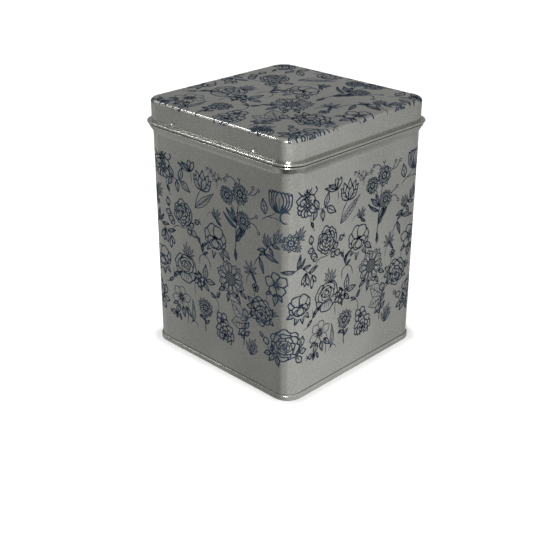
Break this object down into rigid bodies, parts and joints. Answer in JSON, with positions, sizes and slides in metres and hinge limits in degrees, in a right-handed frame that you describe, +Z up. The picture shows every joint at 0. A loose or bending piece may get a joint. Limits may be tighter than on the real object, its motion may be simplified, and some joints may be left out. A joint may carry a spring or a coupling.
{
  "type": "spice tin",
  "caption": "Square tinplate spice tin with rounded corners, a stop bead under a lift-off slip lid with a folded lip, and a clinched recessed base; floral line print.",
  "frame": {"origin": "centre of the tin on the plane of the base rim's flat underside", "axes": "+Z up through the lid, -Y is the front with two lid nibs, +Y is the back with the lock seam"},
  "size_m": [0.0782, 0.0782, 0.1],
  "materials": {
    "body_tinplate": "satin",
    "base_tinplate": "satin",
    "lid_tinplate": "satin",
    "printed_ink": "satin"
  },
  "bodies": {
    "tin": {"body_wall": "body_tinplate", "base_end": "base_tinplate"},
    "lid": {"lid": "lid_tinplate"}
  },
  "joints": [
    {"name": "lid_lift", "type": "slide", "parent": "tin", "child": "lid", "axis": [0, 0, 1], "range_m": [0, 0.04]}
  ]
}
